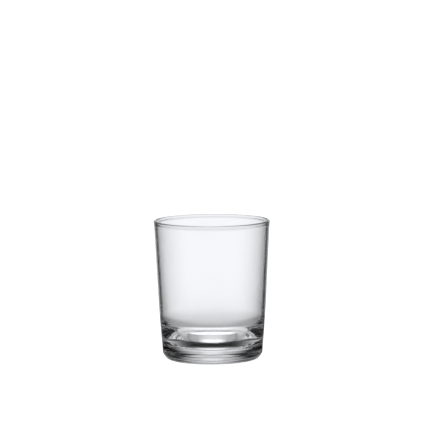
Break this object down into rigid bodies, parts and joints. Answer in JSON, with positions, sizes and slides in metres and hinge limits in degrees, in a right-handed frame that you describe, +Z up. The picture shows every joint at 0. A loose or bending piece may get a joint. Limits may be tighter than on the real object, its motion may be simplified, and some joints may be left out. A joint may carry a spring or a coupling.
{
  "type": "liqueur glass",
  "caption": "Small clear tumbler for liqueur: tapered thin wall with a fire-polished rim over a thick solid base with a rounded heel.",
  "frame": {"origin": "centre of the foot, on the surface that the glass stands on", "axes": "+Z up along the axis of the glass, towards the rim; it is round, so X and Y are alike"},
  "size_m": [0.05, 0.05, 0.06],
  "materials": {
    "clear_glass": "clear, fire-polished"
  },
  "bodies": {
    "root": {"glass_body": "clear_glass"}
  },
  "joints": []
}
